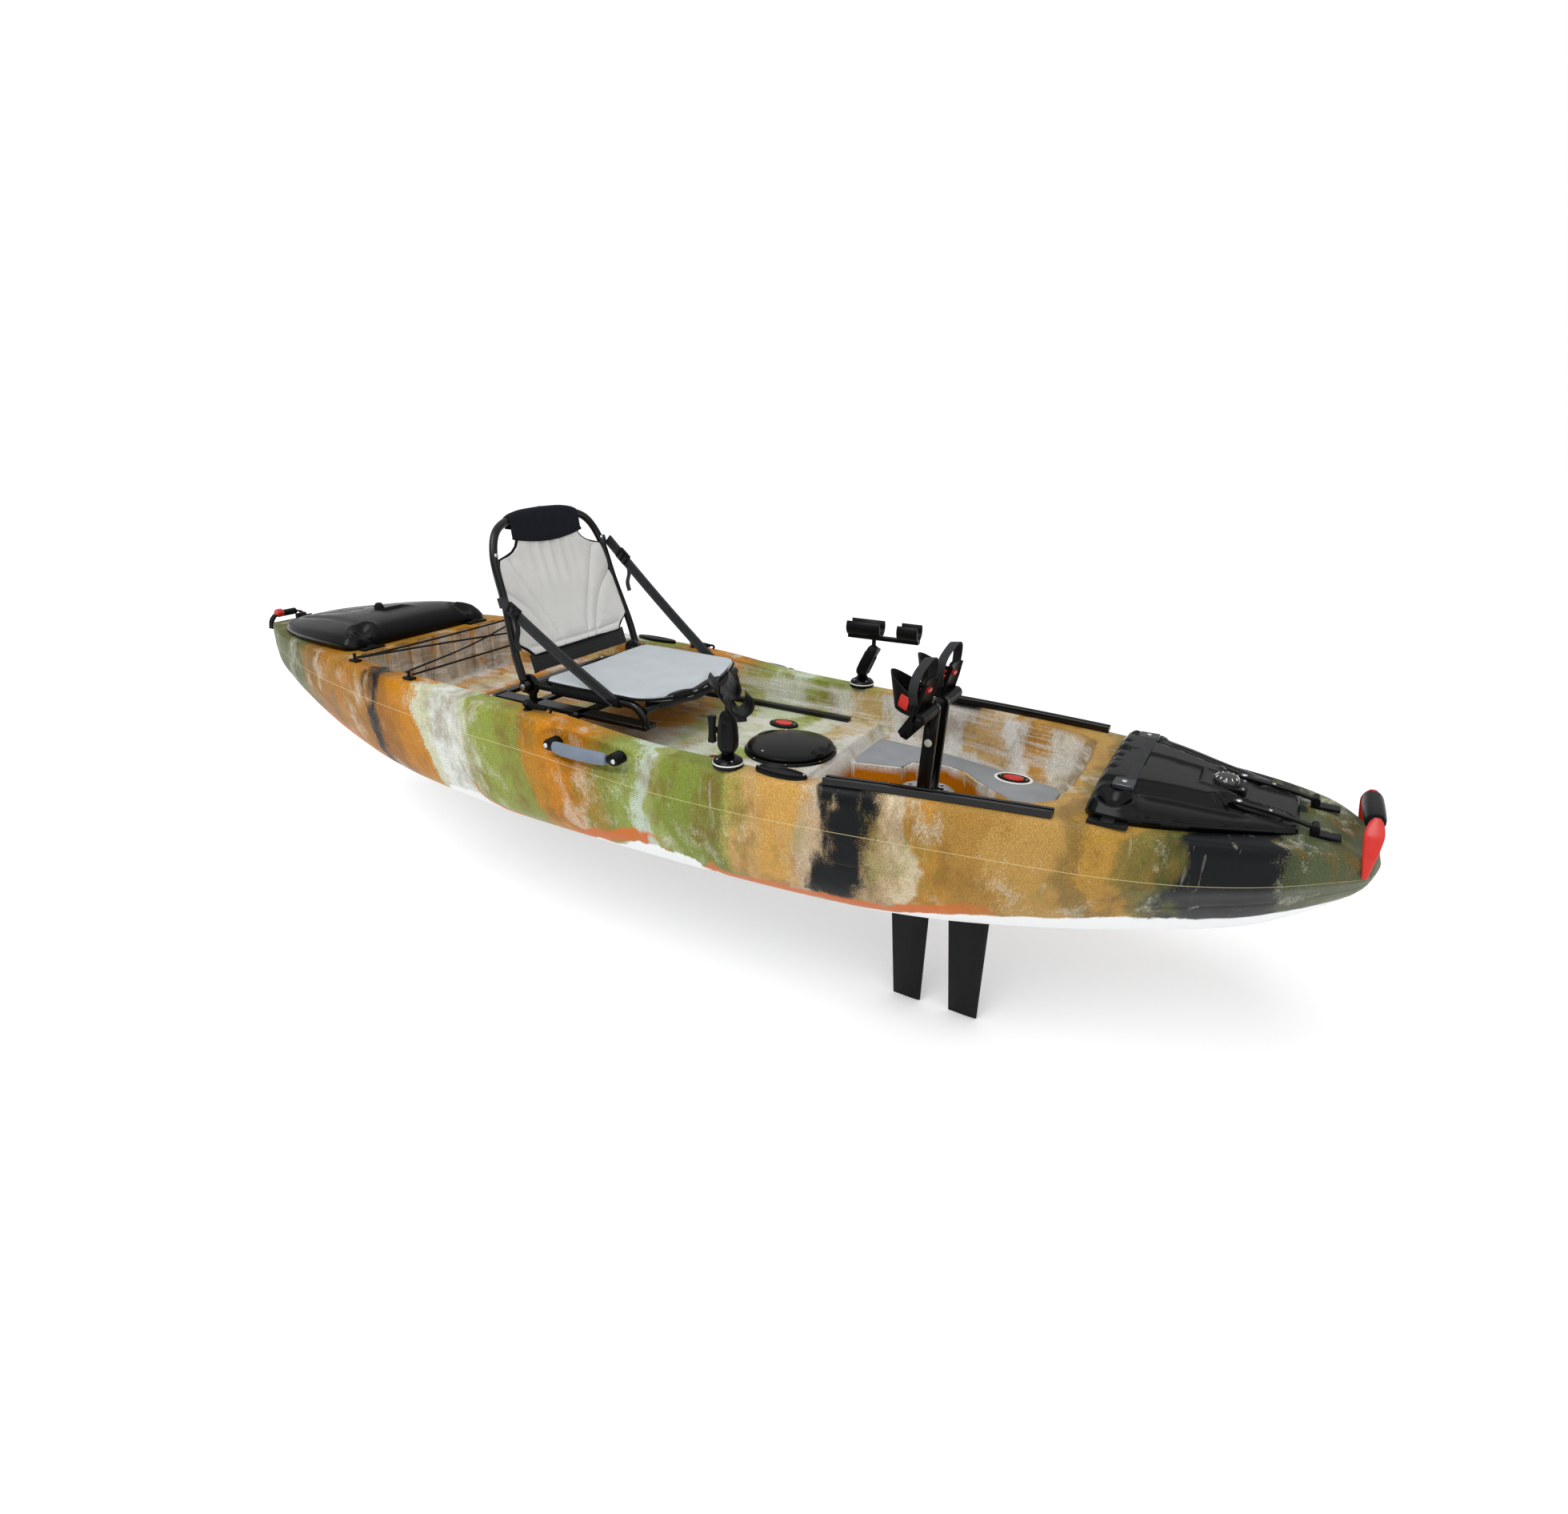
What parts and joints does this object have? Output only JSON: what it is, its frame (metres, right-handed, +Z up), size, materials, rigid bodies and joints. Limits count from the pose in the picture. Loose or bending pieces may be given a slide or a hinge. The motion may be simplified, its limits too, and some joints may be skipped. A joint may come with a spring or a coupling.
{
  "type": "pedal kayak",
  "caption": "Sit-on-top fishing kayak with a reclining mesh seat, hatches, rod holders and a flapping-fin pedal drive.",
  "frame": {"origin": "middle of the flat of the keel, 1.75 m aft of the bow tip", "axes": "+X to the bow, +Y to port, +Z up"},
  "size_m": [3.47, 0.9328, 1.2187],
  "materials": {
    "hull_plastic": "rotomoulded polyethylene, speckled camouflage",
    "black_plastic": "moulded nylon and ABS, satin black",
    "cover_plastic": "moulded ABS hatch, satin black",
    "grey_foam": "closed-cell EVA deck pad",
    "red_plastic": "moulded red plastic",
    "grey_rubber": "soft grip",
    "grey_fabric": "woven polyester with black binding",
    "black_webbing": "nylon webbing and shock cord",
    "black_aluminium": "powder-coated aluminium",
    "silver_aluminium": "machined aluminium",
    "compass_glass": "clear domed compass"
  },
  "bodies": {
    "hull_body": {"hull": "hull_plastic", "foot_pad_starboard": "grey_foam", "foot_pad_port": "grey_foam", "scupper_valve_front_starboard": "black_plastic", "scupper_valve_front_port": "black_plastic", "scupper_valve_middle_port": "black_plastic", "scupper_valve_rear_starboard": "black_plastic", "scupper_valve_rear_port": "black_plastic", "round_hatch_ring": "black_plastic", "flush_socket": "black_plastic", "oval_holder": "black_plastic", "paddle_keeper": "black_plastic", "side_handle_strap_starboard": "black_plastic", "side_handle_strap_port": "black_plastic", "bow_handle_grip": "black_plastic", "stern_handle": "black_plastic", "bow_hinge_starboard": "black_plastic", "bow_hinge_port": "black_plastic", "bow_catch_starboard": "black_plastic", "bow_catch_port": "black_plastic", "stern_catch_starboard": "black_plastic", "stern_catch_port": "black_plastic", "stern_hinge": "black_plastic", "cord_hook_aft_starboard": "black_plastic", "cord_hook_aft_port": "black_plastic", "cord_hook_fore_starboard": "black_plastic", "cord_hook_fore_port": "black_plastic", "rod_base_starboard": "black_plastic", "rod_base_port": "black_plastic", "drive_housing": "black_plastic", "bow_handle_strap": "red_plastic", "side_handle_grip_starboard": "grey_rubber", "side_handle_grip_port": "grey_rubber", "tank_cord": "black_webbing", "seat_strap_starboard": "black_webbing", "seat_strap_port": "black_webbing", "gear_track_starboard": "black_aluminium", "gear_track_port": "black_aluminium", "seat_rail_starboard": "black_aluminium", "seat_rail_port": "black_aluminium", "seat_frame": "black_aluminium", "seat_pan": "grey_fabric", "drive_flange": "silver_aluminium"},
    "seat_back_body": {"seat_back_frame": "black_aluminium", "seat_back": "grey_fabric"},
    "bow_hatch_body": {"bow_hatch_cover": "cover_plastic", "bow_hatch_strap": "black_webbing", "compass": "compass_glass"},
    "stern_hatch_body": {"stern_hatch_cover": "cover_plastic"},
    "round_hatch_body": {"round_hatch_lid": "black_plastic"},
    "fin_aft_body": {"fin_aft": "black_plastic"},
    "fin_fore_body": {"fin_fore": "black_plastic"},
    "rod_arm_starboard_body": {"rod_arm_starboard": "black_plastic"},
    "rod_cradle_starboard_body": {"rod_cradle_starboard": "black_plastic"},
    "pedal_arm_starboard_body": {"pedal_arm_starboard": "black_aluminium"},
    "pedal_starboard_body": {"pedal_starboard": "black_plastic"},
    "rod_arm_port_body": {"rod_arm_port": "black_plastic"},
    "rod_cradle_port_body": {"rod_cradle_port": "black_plastic"},
    "pedal_arm_port_body": {"pedal_arm_port": "black_aluminium"},
    "pedal_port_body": {"pedal_port": "black_plastic"}
  },
  "joints": [
    {"name": "seat_back_fold", "type": "hinge", "parent": "hull_body", "child": "seat_back_body", "pos_m": [-0.28, 0, 0.385], "axis": [0, 1, 0], "range_deg": [0, 65], "deforming": ["seat_strap_starboard", "seat_strap_port"]},
    {"name": "bow_hatch_lift", "type": "hinge", "parent": "hull_body", "child": "bow_hatch_body", "pos_m": [1.622, 0, 0.36025], "axis": [0, 1, 0], "range_deg": [0, 95]},
    {"name": "stern_hatch_lift", "type": "hinge", "parent": "hull_body", "child": "stern_hatch_body", "pos_m": [-1.612, 0, 0.37811], "axis": [0, -1, 0], "range_deg": [0, 75]},
    {"name": "round_hatch_turn", "type": "hinge", "parent": "hull_body", "child": "round_hatch_body", "pos_m": [0.414, 0, 0.2633], "axis": [0, 0, 1], "range_deg": [0, 60]},
    {"name": "rod_arm_starboard_swivel", "type": "hinge", "parent": "hull_body", "child": "rod_arm_starboard_body", "pos_m": [0.451, -0.364, 0.38879], "axis": [0, 0, 1], "range_deg": [-90, 90]},
    {"name": "rod_cradle_starboard_tilt", "type": "hinge", "parent": "rod_arm_starboard_body", "child": "rod_cradle_starboard_body", "pos_m": [0.451, -0.364, 0.46679], "axis": [0.6947, 0.7193, 0], "range_deg": [-30, 30]},
    {"name": "rod_arm_port_swivel", "type": "hinge", "parent": "hull_body", "child": "rod_arm_port_body", "pos_m": [0.451, 0.364, 0.38879], "axis": [0, 0, 1], "range_deg": [-90, 90]},
    {"name": "rod_cradle_port_tilt", "type": "hinge", "parent": "rod_arm_port_body", "child": "rod_cradle_port_body", "pos_m": [0.48273, 0.364, 0.46005], "axis": [-0.0698, 0.9976, 0], "range_deg": [-10, 30]},
    {"name": "pedal_arm_port_swing", "type": "hinge", "parent": "hull_body", "child": "pedal_arm_port_body", "pos_m": [0.8, 0, 0.199], "axis": [0, 1, 0], "range_deg": [-25, 25]},
    {"name": "pedal_arm_starboard_swing", "type": "hinge", "parent": "hull_body", "child": "pedal_arm_starboard_body", "pos_m": [0.8, 0, 0.199], "axis": [0, 1, 0], "range_deg": [-25, 25]},
    {"name": "pedal_starboard_turn", "type": "hinge", "parent": "pedal_arm_starboard_body", "child": "pedal_starboard_body", "pos_m": [0.81308, 0, 0.44866], "axis": [0, 1, 0], "range_deg": [-30, 30]},
    {"name": "pedal_port_turn", "type": "hinge", "parent": "pedal_arm_port_body", "child": "pedal_port_body", "pos_m": [0.81308, 0, 0.44866], "axis": [0, 1, 0], "range_deg": [-30, 30]},
    {"name": "fin_fore_flap", "type": "hinge", "parent": "hull_body", "child": "fin_fore_body", "pos_m": [0.936, 0, -0.03], "axis": [1, 0, 0], "range_deg": [-60, 60]},
    {"name": "fin_aft_flap", "type": "hinge", "parent": "hull_body", "child": "fin_aft_body", "pos_m": [0.778, 0, -0.03], "axis": [1, 0, 0], "range_deg": [-60, 60]}
  ],
  "couplings": [
    {"joint": "pedal_arm_starboard_swing", "follows": "pedal_arm_port_swing", "ratio": -1},
    {"joint": "fin_fore_flap", "follows": "pedal_arm_port_swing", "ratio": 2.4},
    {"joint": "fin_aft_flap", "follows": "pedal_arm_port_swing", "ratio": -2.4}
  ]
}
